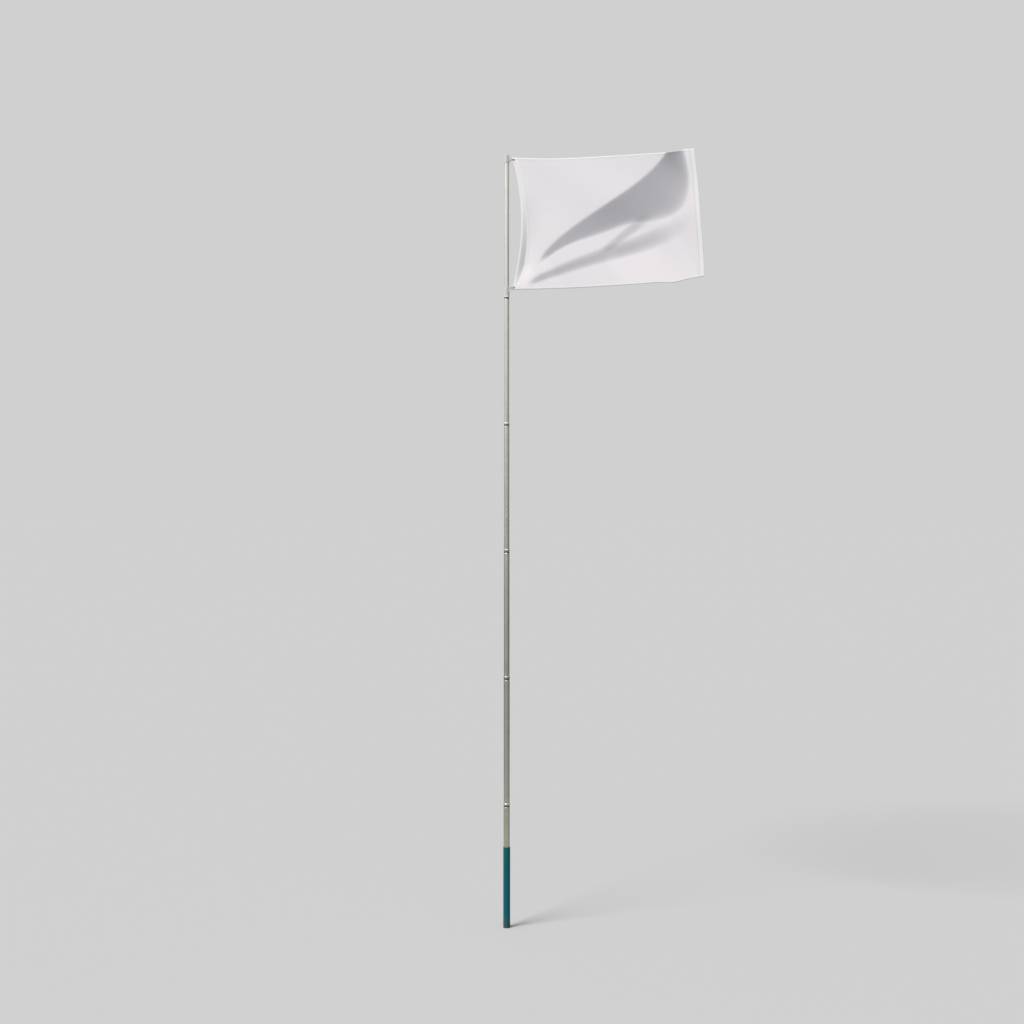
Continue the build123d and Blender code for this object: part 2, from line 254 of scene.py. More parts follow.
# Low band: 1 at the ground and below Low, fading to 0 at High, with a ragged upper edge
low_band, given, result = effect(
    "low_band", [("Low", "Float", 0.0), ("High", "Float", 0.1)], [("Mask", "Float")]
)
ragged_span = 0.10
place = add_node(low_band, "TexCoord").outputs["Object"]
height = add_node(low_band, "SeparateXYZ", {"Vector": place}).outputs["Z"]
ragged = add_node(low_band, "TexNoise", {"Vector": place, "Scale": 55.0, "Detail": 5.0}).outputs["Fac"]
shift = calculated(low_band, "MULTIPLY_ADD", ragged, ragged_span, -ragged_span / 2)
ragged_height = calculated(low_band, "ADD", height, shift)
band = ramp(low_band, ragged_height, low=given["Low"], high=given["High"], start=1.0, end=0.0, smooth=True)
low_band.links.new(band, result["Mask"])


def use_effect(tree, group, **values):
    """A node that runs the group with these inputs; an underscore in a name stands for a space."""
    node = tree.nodes.new("ShaderNodeGroup")
    node.node_tree = group
    for name, value in values.items():
        socket = node.inputs[name.replace("_", " ")]
        if isinstance(value, bpy.types.NodeSocket):
            tree.links.new(value, socket)
        else:
            socket.default_value = value
    return node.outputs


def finish(name, **constants):
    """A material and its shader, with the constants set on the shader's own sockets."""
    material = bpy.data.materials.new(name)
    material.use_nodes = True
    shader = material.node_tree.nodes["Principled BSDF"]
    for socket, value in constants.items():
        shader.inputs[socket.replace("_", " ")].default_value = value
    return material, material.node_tree, shader.inputs


def stained(tree, shader, clean, stain, amount, size):
    """Colours the shader in a clean tone with clouds of a second one, and gives the mask of the second."""
    clouded = use_effect(tree, weathering, Clean=clean, Stain=stain, Amount=amount, Size=size)
    tree.links.new(clouded["Color"], shader["Base Color"])
    return clouded["Mask"]


def dulled(tree, shader, mask, glossiest, dullest, low=0.0, high=1.0):
    """Roughness that grows evenly from glossiest to dullest as the mask goes from low to high."""
    tree.links.new(ramp(tree, mask, low, high, start=glossiest, end=dullest), shader["Roughness"])


def textured(tree, shader, height, strength, depth=0.0001):
    """Bumps the shader's normal by the height, which stands for that depth in metres."""
    bump = add_node(tree, "Bump", {"Strength": strength, "Distance": depth, "Height": height})
    tree.links.new(bump.outputs["Normal"], shader["Normal"])


petrol_blue = (0.001, 0.128, 0.172, 1)
painted_light_tint = (0.001, 0.142, 0.132, 1)
dulled_petrol = (0.003, 0.100, 0.130, 1)
chipped_tone = (0.10, 0.20, 0.20, 1)
earth_brown = (0.085, 0.075, 0.045, 1)
earth_share = 0.55
sleeve_coat, tree, coat = finish("sleeve_coat", Metallic=0.0, Specular_IOR_Level=0.22)
sleeve_place = add_node(tree, "TexCoord").outputs["Object"]
sleeve_height = add_node(tree, "SeparateXYZ", {"Vector": sleeve_place}).outputs["Z"]
# Painted light: the coat turns greener towards the mouth, a tint that stands in for the light on the sleeve's
# upper part
painted_light_near_mouth = ramp(tree, sleeve_height, low=0.30, high=0.50, smooth=True)
coat_with_painted_light = mixed(tree, painted_light_near_mouth, petrol_blue, painted_light_tint)
colour = use_effect(tree, weathering, Clean=coat_with_painted_light, Stain=dulled_petrol, Amount=0.6, Size=9.0)
chips = use_effect(tree, weathering, Clean=(0, 0, 0, 1), Stain=(1, 1, 1, 1), Amount=1.0, Size=130.0)
chip_mask = ramp(tree, chips["Mask"], low=0.86, high=0.90)
with_chips = mixed(tree, chip_mask, colour["Color"], chipped_tone)
earth = use_effect(tree, low_band, Low=-0.01, High=0.11)
earth_mask = calculated(tree, "MULTIPLY", earth["Mask"], earth_share)
tree.links.new(mixed(tree, earth_mask, with_chips, earth_brown), coat["Base Color"])
dulled(tree, coat, earth_mask, glossiest=0.34, dullest=0.75)
peel = use_effect(tree, grain, Across=420.0, Along=420.0)
textured(tree, coat, peel["Height"], strength=0.25, depth=0.0002)

sleeve_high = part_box("ground_sleeve")[1]
sleeve_radius = sleeve_high[0]
sleeve_top = sleeve_high[2]
sleeve_wall = 0.0018
sleeve_bore = sleeve_radius - sleeve_wall
sleeve_floor = 0.004
# Turned pieces keep this far off their axis, so that all their faces have four corners
axis_gap = 0.0001
sleeve = turned(
    "ground_sleeve_tube",
    [(axis_gap, 0), (sleeve_radius, 0), (sleeve_radius, sleeve_top), (sleeve_bore, sleeve_top),
     (sleeve_bore, sleeve_floor), (axis_gap, sleeve_floor)],
    edge=0.0005,
)
dressed(sleeve, sleeve_coat, "sleeve_paint", "mast", "ground_sleeve")

# Bush in the sleeve's mouth: a black moulded ring whose flange covers the rim and whose skirt holds the
# lowest tube upright. It is pushed in by hand.
bush_bore = 0.0211
bush_skirt_radius = 0.0217
bush_chamfer = 0.0010
bush_low, bush_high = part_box("sleeve_bush")
bush_top = bush_high[2]
bush = turned(
    "sleeve_bush_ring",
    [(bush_bore, bush_low[2]), (bush_skirt_radius, bush_low[2]), (bush_skirt_radius, sleeve_top),
     (sleeve_radius, sleeve_top), (sleeve_radius, bush_top - bush_chamfer),
     (sleeve_radius - bush_chamfer, bush_top), (bush_bore, bush_top)],
)
dark_plastic, tree, plastic = finish("dark_plastic", Metallic=0.0, IOR=1.47)
dusty = stained(
    tree, plastic, clean=(0.055, 0.055, 0.052, 1), stain=(0.13, 0.125, 0.11, 1), amount=0.5, size=60.0
)
dulled(tree, plastic, dusty, glossiest=0.5, dullest=0.75)
mould_skin = use_effect(tree, grain, Across=1500.0, Along=1500.0)
textured(tree, plastic, mould_skin["Height"], strength=0.3)
dressed(bush, dark_plastic, "dark_plastic", "mast", "sleeve_bush")

# Pole tubes: six drawn aluminium tubes, clear anodised, with the fine lines of drawing along them. Each has
# a swaged neck that plugs up into the tube above; the top one has a plain end.
top_tube_radius = 0.016
radius_step = 0.001
tube_wall = 0.0012
neck_clearance = 0.00015
neck_length = 0.109
neck_lead_in = 0.0008
shoulder_height = 0.005
tube_aluminium, tree, metal = finish("tube_aluminium", Metallic=1.0)
stained(tree, metal, clean=(0.68, 0.68, 0.665, 1), stain=(0.58, 0.58, 0.56, 1), amount=0.6, size=22.0)
lines = use_effect(tree, grain, Across=1400.0, Along=5.0)
dulled(tree, metal, lines["Height"], glossiest=0.3, dullest=0.42, low=0.3, high=0.7)
textured(tree, metal, lines["Height"], strength=0.22)
for number in range(1, 7):
    low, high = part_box(f"tube_{number}")
    radius = top_tube_radius + radius_step * (number - 1)
    bore = radius - tube_wall
    foot = low[2]
    top = high[2]
    if number == 1:
        profile = [(bore, foot), (radius, foot), (radius, top), (bore, top)]
    else:
        neck = radius - radius_step - tube_wall - neck_clearance
        shoulder = top - neck_length
        profile = [
            (bore, foot), (radius, foot), (radius, shoulder), (neck, shoulder + shoulder_height),
            (neck, top - neck_lead_in), (neck - neck_lead_in, top), (neck - tube_wall, top),
            (neck - tube_wall, shoulder + shoulder_height), (bore, shoulder),
        ]
    tube = turned(f"pole_tube_{number}", profile, edge=0.0002)
    dressed(tube, tube_aluminium, "tube_aluminium", "mast", f"tube_{number}")

# Joint collars: short bright rings, turned from thicker tube and pressed on each tube's lower end, where
# they stiffen its mouth. Fine rings of the turning tool show on them.
collar_bore = 0.01605
collar_wall = 0.0022
collar_foot_chamfer = 0.0008
collar_cone_width = 0.0012
collar_cone_height = 0.0016
collar_aluminium, tree, metal = finish("collar_aluminium", Metallic=1.0)
stained(tree, metal, clean=(0.84, 0.84, 0.82, 1), stain=(0.68, 0.68, 0.66, 1), amount=0.5, size=70.0)
turning_marks = use_effect(tree, grain, Across=14.0, Along=3200.0)
dulled(tree, metal, turning_marks["Height"], glossiest=0.2, dullest=0.34, low=0.3, high=0.7)
textured(tree, metal, turning_marks["Height"], strength=0.2)
for number in range(1, 6):
    low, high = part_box(f"joint_collar_{number}")
    bore = collar_bore + radius_step * (number - 1)
    rim = bore + collar_wall
    collar = turned(
        f"joint_collar_ring_{number}",
        [(bore, low[2]), (rim - collar_foot_chamfer, low[2]), (rim, low[2] + collar_foot_chamfer),
         (rim, high[2] - collar_cone_height), (rim - collar_cone_width, high[2]), (bore, high[2])],
        edge=0.0004,
    )
    dressed(collar, collar_aluminium, "collar_aluminium", "mast", f"joint_collar_{number}")

# Joint seals: dark moulded rings on each shoulder, which the tube above rests on and which keep rain out.
# They are a little narrower than the tube, so the joint reads as a dark groove.
first_seal_bore = 0.0148
seal_gap = 0.0001
seal_depth = 0.0065
for number in range(1, 6):
    low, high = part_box(f"joint_seal_{number}")
    rim = high[0]
    bore = first_seal_bore + radius_step * (number - 1) - neck_clearance + seal_gap
    seat = high[2] - seal_depth
    seal = turned(
        f"joint_seal_ring_{number}",
        [(bore, seat), (rim, low[2]), (rim, high[2]), (bore, high[2])],
        edge=0.0002,
    )
    dressed(seal, dark_plastic, "dark_plastic", "mast", f"joint_seal_{number}")

# Cap: a light grey moulding with a low dome and a rim as wide as the swivel rings. Its plug is pushed into
# the top tube and keeps the upper swivel ring on.
cap_low, cap_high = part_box("head_cap")
cap_radius = cap_high[0]
cap_top = cap_high[2]
cap_dome = 0.006
cap_rim = 0.005
cap_seat = cap_top - cap_dome - cap_rim
cap_plug = 0.0147
cap_plug_wall = 0.0025
share = np.linspace(0, 1, 14)
dome_radius = (cap_radius**2 + cap_dome**2) / (2 * cap_dome)
dome_r = cap_radius * (1 - share)
dome_z = cap_top - dome_radius + np.sqrt(dome_radius**2 - dome_r**2)
cap_profile = [
    (axis_gap, cap_seat), (cap_plug - cap_plug_wall, cap_seat), (cap_plug - cap_plug_wall, cap_low[2]),
    (cap_plug, cap_low[2]), (cap_plug, cap_seat), (cap_radius, cap_seat),
]
cap_profile += list(zip(dome_r[:-1], dome_z[:-1])) + [(axis_gap, cap_top)]
cap = turned("head_cap_moulding", cap_profile, edge=0.0005)
grey_plastic, tree, plastic = finish("grey_plastic", Metallic=0.0, IOR=1.47)
weathered = stained(
    tree, plastic, clean=(0.76, 0.76, 0.73, 1), stain=(0.59, 0.585, 0.55, 1), amount=0.5, size=45.0
)
dulled(tree, plastic, weathered, glossiest=0.42, dullest=0.6)
mould_skin = use_effect(tree, grain, Across=1100.0, Along=1100.0)
textured(tree, plastic, mould_skin["Height"], strength=0.25)
dressed(cap, grey_plastic, "grey_plastic", "mast", "head_cap")

# Stop rings: grey moulded rings clamped on the top tube, which the swivel rings turn on. They keep the
# flag's two corners at their heights.
stop_bore = 0.01605
for level in ("upper", "lower"):
    low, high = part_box(f"{level}_stop_ring")
    rim = high[0]
    stop = turned(
        f"{level}_stop_ring_moulding",
        [(stop_bore, low[2]), (rim, low[2]), (rim, high[2]), (stop_bore, high[2])],
        edge=0.0006,
    )
    dressed(stop, grey_plastic, "grey_plastic", "mast", f"{level}_stop_ring")

# Swivel rings: grey moulded sleeves that run loose round the tube, each with a flat lug moulded on. The
# lug's long slot takes the snap clip.
wind_turn = math.radians(-35)
ring_bore = 0.0164
ring_wall = 0.002
ring_height = 0.038
lug_reach = 0.036
lug_thickness = 0.004
lug_corner = 0.007
lug_foot = 0.0006
slot_centre = 0.0275
slot_width = 0.010
slot_height = 0.022
slot_corner = slot_width / 2 - 1e-5
ring_edge = 0.0005
lug_edge = 0.0006


def in_the_wind(points):
    """Points shaped along +X, turned about the pole to where the wind holds the flag."""
    x, y, z = np.moveaxis(points, -1, 0)
    turned_x = x * np.cos(wind_turn) - y * np.sin(wind_turn)
    turned_y = x * np.sin(wind_turn) + y * np.cos(wind_turn)
    return np.stack([turned_x, turned_y, z], axis=-1)


def loop_radius(angle, half_width, half_height, corner):
    """Distance from the centre of a rectangle with round corners to its edge, at each angle: the edge is
    walked as four arcs, and its distances are read back at the angles."""
    arc_steps, side_steps = 24, 40
    quarter = np.linspace(0, np.pi / 2, arc_steps)
    turn = (quarter[None, :] + np.array([0, 1, 2, 3])[:, None] * np.pi / 2).ravel()
    side_x = np.repeat([1, -1, -1, 1], arc_steps) * (half_width - corner)
    side_z = np.repeat([1, 1, -1, -1], arc_steps) * (half_height - corner)
    x = side_x + corner * np.cos(turn)
    z = side_z + corner * np.sin(turn)
    corners_at = np.arctan2(z, x)
    order = np.argsort(corners_at)
    fine = np.linspace(0, 1, side_steps)
    x_line = (x[order][:, None] * (1 - fine) + np.roll(x[order], -1)[:, None] * fine).ravel()
    z_line = (z[order][:, None] * (1 - fine) + np.roll(z[order], -1)[:, None] * fine).ravel()
    line_angle = np.arctan2(z_line, x_line)
    sorted_line = np.argsort(line_angle)
    distance = np.hypot(x_line, z_line)
    return np.interp(angle, line_angle[sorted_line], distance[sorted_line], period=2 * np.pi)


for level in ("upper", "lower"):
    low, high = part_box(f"{level}_swivel_ring")
    middle = (low[2] + high[2]) / 2
    angle = np.linspace(0, 2 * np.pi, 96, endpoint=False)
    ring_profile = np.array(
        [(ring_bore, low[2]), (ring_bore + ring_wall, low[2]), (ring_bore + ring_wall, high[2]),
         (ring_bore, high[2])]
    )
    radius, height = ring_profile.T[:, :, None]
    ring_points = np.stack([radius * np.cos(angle), radius * np.sin(angle), height + 0 * angle], axis=-1)
    # The lug is a flat loop: its outline and its slot, each on the front and on the back
    root = ring_bore + ring_wall / 2
    centre_x = (root + lug_reach) / 2
    outer = loop_radius(angle, (lug_reach - root) / 2, ring_height / 2 - lug_foot, lug_corner)
    inner = loop_radius(angle, slot_width / 2, slot_height / 2, slot_corner)
    outer_x = centre_x + outer * np.cos(angle)
    outer_z = middle + outer * np.sin(angle)
    inner_x = slot_centre + inner * np.cos(angle)
    inner_z = middle + inner * np.sin(angle)
    half = lug_thickness / 2
    lug_points = np.stack(
        [
            np.stack([outer_x, 0 * angle - half, outer_z], axis=-1),
            np.stack([outer_x, 0 * angle + half, outer_z], axis=-1),
            np.stack([inner_x, 0 * angle + half, inner_z], axis=-1),
            np.stack([inner_x, 0 * angle - half, inner_z], axis=-1),
        ]
    )
    ring_mesh = grid_mesh("ring", in_the_wind(ring_points), around=True, along=True)
    lug_mesh = grid_mesh("lug", in_the_wind(lug_points), around=True, along=True)
    ring = linked(f"{level}_swivel_ring_moulding", ring_mesh)
    lug = linked(f"{level}_ring_lug", lug_mesh)
    round_edges(ring, ring_edge)
    round_edges(lug, lug_edge)
    dressed(ring, grey_plastic, "grey_plastic", "flag", f"{level}_swivel_ring")
    lug.data.materials.append(grey_plastic)
    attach(lug, "flag")

# Snap clips: a loop of zinc plated wire through the ring's slot and the flag's grommet, closed by a straight
# gate that springs inwards. The wire and the gate are cut from the same rod, and their ends are rounded.
wire = 0.002
clip_half = 0.008
clip_near = 0.0355
clip_far = 0.0505
gate_gap = 0.0003


def drawn_wire(name, path, radius, sides=20):
    """A round wire along a path: at every point, a circle of that point's radius across the tangent."""
    upwards = np.array([0.0, 0.0, 1.0])
    tangent = np.gradient(path, axis=0)
    tangent = tangent / np.linalg.norm(tangent, axis=1, keepdims=True)
    side = np.cross(tangent, upwards)
    turn = np.linspace(0, 2 * np.pi, sides, endpoint=False)[:, None]
    across = np.cos(turn) * side[:, None] + np.sin(turn) * upwards
    points = path[:, None] + np.asarray(radius)[:, None, None] * across
    return grid_mesh(name, in_the_wind(points), around=True)


def round_ended(length, radius):
    """Radius along a wire, at each length from its start: full, but falling as a quarter circle over the last
    radius at both ends, down to a fiftieth."""
    from_end = np.minimum(length, length[-1] - length)
    inward = np.clip(1 - from_end / radius, 0, 1)
    least_area = 0.0004
    return radius * np.sqrt(np.clip(1 - inward**2, least_area, 1))


clip_steel, tree, metal = finish("clip_steel", Metallic=1.0)
tarnished = stained(
    tree, metal, clean=(0.58, 0.58, 0.57, 1), stain=(0.36, 0.35, 0.32, 1), amount=0.6, size=160.0
)
dulled(tree, metal, tarnished, glossiest=0.3, dullest=0.55)
scuffs = use_effect(tree, grain, Across=1800.0, Along=1800.0)
textured(tree, metal, scuffs["Height"], strength=0.15)
for level in ("upper", "lower"):
    low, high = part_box(f"{level}_clip")
    clip_z = (low[2] + high[2]) / 2
    # The loop's line: round the far end, straight along the back, and round the near end
    far_turn = np.linspace(-np.pi / 2, np.pi / 2, 40)
    near_turn = np.linspace(np.pi / 2, 3 * np.pi / 2, 40)
    far_x = clip_far + clip_half * np.cos(far_turn)
    near_x = clip_near + clip_half * np.cos(near_turn)
    loop_x = np.concatenate([far_x, near_x])
    loop_y = np.concatenate([clip_half * np.sin(far_turn), clip_half * np.sin(near_turn)])
    loop = np.stack([loop_x, loop_y, clip_z + 0 * loop_x], axis=-1)
    walked = np.concatenate([[0], np.cumsum(np.linalg.norm(np.diff(loop, axis=0), axis=1))])
    clip = linked(f"{level}_clip_wire", drawn_wire("clip", loop, round_ended(walked, wire)))
    dressed(clip, clip_steel, "clip_steel", "flag", f"{level}_clip")
    gate_x = np.linspace(clip_near + gate_gap, clip_far - gate_gap, 40)
    gate_line = np.stack([gate_x, 0 * gate_x - clip_half, clip_z + 0 * gate_x], axis=-1)
    gate_radius = round_ended(gate_x - gate_x[0], wire)
    gate = linked(f"{level}_clip_gate_bar", drawn_wire("gate", gate_line, gate_radius))
    dressed(gate, clip_steel, "clip_steel", "flag", f"{level}_clip_gate")

# Grommets: two-part eyelets of nickel plated brass, punched through the canvas header at the hoist's two
# corners and rolled over, so that the clips' wire bears on metal and not on cloth.
grommet_x = 0.06016
grommet_bore = 0.005
grommet_rim = 0.010
grommet_under = 0.0066
lip_foot = 0.00095
lip_rise = 0.00115
lip_fullness = 0.7
roll_start, roll_length = 0.12, 1.05
rim_chamfer = 0.0002
under_level = 0.00092
grommet_metal, tree, metal = finish("grommet_metal", Metallic=1.0)
tarnished = stained(
    tree, metal, clean=(0.54, 0.52, 0.46, 1), stain=(0.32, 0.29, 0.22, 1), amount=0.6, size=180.0
)
dulled(tree, metal, tarnished, glossiest=0.28, dullest=0.5)
for level in ("upper", "lower"):
    low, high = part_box(f"{level}_grommet")
    grommet_z = (low[2] + high[2]) / 2
    # Half of the eyelet's section, from its bore over the rolled lip to its rim, and its mirror image
    roll = np.linspace(0, 1, 16)
    lip_r = grommet_bore + (grommet_rim - grommet_bore) * roll
    half_turns = np.clip(roll * roll_length + roll_start, 0, 1)
    lip_y = lip_foot + lip_rise * np.sin(np.pi * half_turns) ** lip_fullness
    under_r = np.array([grommet_rim - rim_chamfer, grommet_under])
    under_y = np.array([under_level, under_level])
    section_r = np.concatenate([lip_r, under_r, under_r[::-1], lip_r[::-1]])
    section_y = np.concatenate([lip_y, under_y, -under_y[::-1], -lip_y[::-1]])
    angle = np.linspace(0, 2 * np.pi, 64, endpoint=False)
    ring_r, ring_y = section_r[:, None], section_y[:, None]
    eyelet_points = np.stack(
        [grommet_x + ring_r * np.cos(angle), ring_y + 0 * angle, grommet_z + ring_r * np.sin(angle)], axis=-1
    )
    eyelet_mesh = grid_mesh("eyelet", in_the_wind(eyelet_points), around=True, along=True)
    eyelet = linked(f"{level}_grommet_eyelet", eyelet_mesh)
    dressed(eyelet, grommet_metal, "grommet_metal", "flag", f"{level}_grommet")

# Flag: white woven polyester, 0.914 by 1.524 m, with a folded hem round three sides and a canvas header
# along the hoist, each held by rows of stitching. It hangs from its two grommets, and the breeze holds it
# out in one deep diagonal fold.
hoist_x = 0.0442
hoist_top = 5.2291
hoist_bottom = 4.3302
hoist_bow = 0.076
fly_top = 1.350
fly_bottom = 1.420
fly_bow = 0.009
top_droop = 0.148
bottom_droop = 0.020
top_sag = 0.014
bottom_sag = 0.018
top_dip, top_dip_at, top_dip_spread = 0.008, 0.25, 0.20
bottom_dip, bottom_dip_at, bottom_dip_spread = 0.013, 0.84, 0.055
fold_lift = 0.31
gutter_depth = 0.030
gutter_starts = 0.006
gutter_width = 0.034
gutter_return = 0.095
gutter_rise = 0.20
gutter_fades_from, gutter_fade = 0.25, 0.50
ripple_height = 0.0035
flutter_height = 0.0045
flutter_from = 0.7
tab = 0.035
tab_run = 0.10
flat_length = 1.524
flat_width = 0.914
slack = 0.19
header_width = 0.050
hem_width = 0.013
fly_hem_width = 0.040


def ease(t):
    """Smooth step from 0 to 1 as t goes from 0 to 1."""
    t = np.clip(t, 0, 1)
    return t * t * (3 - 2 * t)


def taut(t):
    """Drop down a tight flank as t goes from 0 at its crest to 1 at its foot: ten times t less its tenth
    power, over nine, which is straight at first and level at the foot."""
    return (10 * t - t**10) / 9


def bell(t, middle, spread):
    """1 where t is at the middle, and e to the minus square of its distance counted in spreads elsewhere."""
    return np.exp(-(((t - middle) / spread) ** 2))


# All folds: the rounding of their crest and the run over which they open, in metres, the share of the crest
# that hangs at the tip, the waves of its curl, the shares at which the flank has its waist and is widest, and
# the power that closes it
crest_rounding = 0.006
tip_run = 0.10
hook_share = 0.10
curl_waves = 0.93
waist_share, waist_spread = 0.55, 0.11
widest_share = 0.78
end_power = 15


def fold(
    x, z, tip, heading, reach, width, steepness, lip, growth=1.0, hook=0, curl=0, bend=0, waist=0, fade=0,
    behind=0, soft=False,
):
    """Depth of a fold, from its crest down: the crest runs from tip at heading, hangs down by hook at the
    tip, curls as a sine and bends up with the eighth power of the share. The flank below it widens along the
    crest from lip by width times a power of the share, less waist of itself half-way along, and closes at
    the crest's end. It drops away at no more than steepness, taut or, where it is soft, as a smooth step.
    fade is the last share of the crest over which the fold dies out, and behind is how far below its foot
    the cloth comes back, or 0 where it stays."""
    slant = math.radians(heading)
    along = (x - tip[0]) * math.cos(slant) + (z - tip[1]) * math.sin(slant)
    below = (x - tip[0]) * math.sin(slant) - (z - tip[1]) * math.cos(slant)
    share = np.clip(along / reach, 0, 1.1)
    inner = np.clip(share, 0, 1)
    widest = np.minimum(inner, widest_share)
    hang = hook * np.exp(-share / hook_share)
    crest = hang - curl * np.sin(2 * np.pi * curl_waves * share) - bend * share**8
    flank = lip + width * inner**growth * (1 - inner**end_power)
    flank = flank * (1 - waist * bell(inner, waist_share, waist_spread))
    full = lip + width * widest**growth * (1 - widest**end_power)
    past_crest = (below - crest + np.sqrt((below - crest) ** 2 + crest_rounding**2)) / 2
    down = np.clip(past_crest / flank, 0, 1)
    # Over its own steepest slope, 3/2 for a smooth step and 10/9 for a taut one, the drop has slope 1
    if soft:
        drop = ease(down) / 1.5
    else:
        drop = taut(down) * 0.9
    depth = steepness * full * ease(along / tip_run)
    if fade:
        depth = depth * (1 - ease((inner - 1 + fade) / fade))
    if behind:
        drop = drop * bell(np.clip(below - crest - flank, 0, None), 0, behind)
    return depth * drop


def wave(u, v, outwards, upwards, start=0.0):
    """Sine that makes so many waves outwards, from hoist to fly, and upwards, from an angle at the start."""
    return np.sin(2 * np.pi * (outwards * u + upwards * v) + start)


def cloth(u, v):
    """Places of the cloth: u runs from hoist to fly and v from bottom to top. The cloth lies at its full
    length near hoist and fly, and its slack is taken up between them, which a sine spreads out. The edges
    are parabolas: a bowed hoist, a drooping top, a nearly straight fly and a sagging bottom, the long ones
    with a bell-shaped dip. The folds drop behind the flag's plane, a gutter falls back inside the taut hoist
    edge and comes forward again slowly, and the deep fold lifts the cloth by a share of its depth. Low
    ripples, the product of two sines, run over it, and a flutter, one sine, grows towards the fly. Folds and
    waves begin beyond a flat strip along the hoist."""
    u = u + slack * np.sin(2 * np.pi * u) / (2 * np.pi)
    arch = 4 * v * (1 - v)
    belly = 4 * u * (1 - u)
    hoist = hoist_x + hoist_bow * arch
    fly = fly_bottom + (fly_top - fly_bottom) * v + fly_bow * arch
    bottom = hoist_bottom - bottom_droop * u - bottom_sag * belly
    bottom = bottom - bottom_dip * bell(u, bottom_dip_at, bottom_dip_spread)
    top = hoist_top - top_droop * u - top_sag * belly
    top = top - top_dip * bell(u, top_dip_at, top_dip_spread)
    x = hoist + (fly - hoist) * u
    z = bottom + (top - bottom) * v
    deep = fold(
        x, z, tip=(0.2218, 4.5238), heading=27.5, reach=1.195, width=0.36, steepness=0.60, lip=0.025,
        growth=1.35, hook=0.04, curl=0.016, bend=0.06, waist=0.13,
    )
    second = fold(
        x, z, tip=(0.135, 4.372), heading=17.2, reach=1.30, width=0.12, steepness=0.51, lip=0.024,
        growth=0.6, curl=0.012, fade=0.42, soft=True,
    )
    third = fold(
        x, z, tip=(0.674, 4.532), heading=34.0, reach=0.46, width=0.03, steepness=0.38, lip=0.050,
        fade=0.42, behind=0.28, soft=True,
    )
    inward = x - hoist
    gutter_run = ease(v / gutter_rise) * (1 - ease((v - gutter_fades_from) / gutter_fade))
    past_gutter = np.clip(inward - gutter_starts - gutter_width, 0, None)
    gutter_fall = ease((inward - gutter_starts) / gutter_width) * bell(past_gutter, 0, gutter_return)
    gutter = gutter_depth * gutter_run * gutter_fall
    ripple = wave(u, v, outwards=1.9, upwards=0.7, start=0.6)
    ripple = ripple * wave(u, v, outwards=-0.5, upwards=0.8, start=1.1)
    flutter = ease((u - flutter_from) / (1 - flutter_from)) * wave(u, v, outwards=0.9, upwards=1.7)
    waves = ripple_height * ripple + flutter_height * flutter
    free = ease((u - tab) / (1 - tab) / tab_run)
    y = (deep + second + third + waves) * free + gutter
    return np.stack([x, y, z + fold_lift * deep * free * v**2], axis=-1)


# The grid has a line on each side of every seam, and close lines round the grommets. Where a grommet goes
# through, points inside the hole move out to its rim, and faces that lie in it are left out.
seam_step = 0.0006
u_seams = np.array([header_width, flat_length - fly_hem_width]) / flat_length
v_seams = np.array([hem_width - seam_step, hem_width]) / flat_width
close_u = np.linspace(0.002, 0.024, 14)
close_v = np.linspace(0.008, 0.030, 12)
u_lines = np.concatenate([np.linspace(0, 1, 221), close_u, u_seams, u_seams + seam_step / flat_length])
v_lines = np.concatenate([np.linspace(0, 1, 141), close_v, 1 - close_v, v_seams, 1 - v_seams])
u_lines = np.unique(u_lines.round(6))
v_lines = np.unique(v_lines.round(6))
u, v = np.meshgrid(u_lines, v_lines, indexing="ij")
cloth_points = cloth(u, v)
grommet_hole = 0.0062
least_distance = 1e-6
stays = np.ones((len(u_lines) - 1, len(v_lines) - 1), dtype=bool)
for level in ("upper", "lower"):
    low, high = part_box(f"{level}_grommet")
    off_x = cloth_points[..., 0] - grommet_x
    off_z = cloth_points[..., 2] - (low[2] + high[2]) / 2
    distance = np.hypot(off_x, off_z)
    inside = distance < grommet_hole
    stretch = np.where(inside, grommet_hole / np.maximum(distance, least_distance), 1.0)
    cloth_points[..., 0] += off_x * (stretch - 1)
    cloth_points[..., 2] += off_z * (stretch - 1)
    stays &= ~(inside[:-1, :-1] & inside[1:, :-1] & inside[1:, 1:] & inside[:-1, 1:])
flag_mesh = grid_mesh("flag", in_the_wind(cloth_points), keep=stays)
flat_uv = flag_mesh.uv_layers.new(name="flat")
corner_vertex = np.zeros(len(flag_mesh.loops), dtype=int)
flag_mesh.loops.foreach_get("vertex_index", corner_vertex)
flat_corners = np.stack([u.ravel()[corner_vertex], v.ravel()[corner_vertex]], axis=-1)
flat_uv.data.foreach_set("uv", flat_corners.ravel())
flag = linked("flag_sheet", flag_mesh)

# Layers of cloth: one in the field, three in a hem, and the folded canvas of the header
header_thickness = 0.0019
header_share, hem_share, field_share = 1.0, 0.7, 0.32
tolerance = 1e-5
layers = flag.vertex_groups.new(name="layers")
in_header = (u * flat_length <= header_width + tolerance).ravel()
from_long_edge = np.minimum(v, 1 - v) * flat_width
in_hem = (from_long_edge <= hem_width - seam_step + tolerance).ravel()
in_fly_hem = (u * flat_length >= flat_length - fly_hem_width + seam_step - tolerance).ravel()
thickness_share = np.where(in_header, header_share, np.where(in_hem | in_fly_hem, hem_share, field_share))
for share in (header_share, hem_share, field_share):
    layers.add(np.flatnonzero(thickness_share == share).tolist(), share, "REPLACE")
thickness = flag.modifiers.new("cloth_thickness", "SOLIDIFY")
thickness.thickness = header_thickness
thickness.offset = 0.0
thickness.vertex_group = "layers"

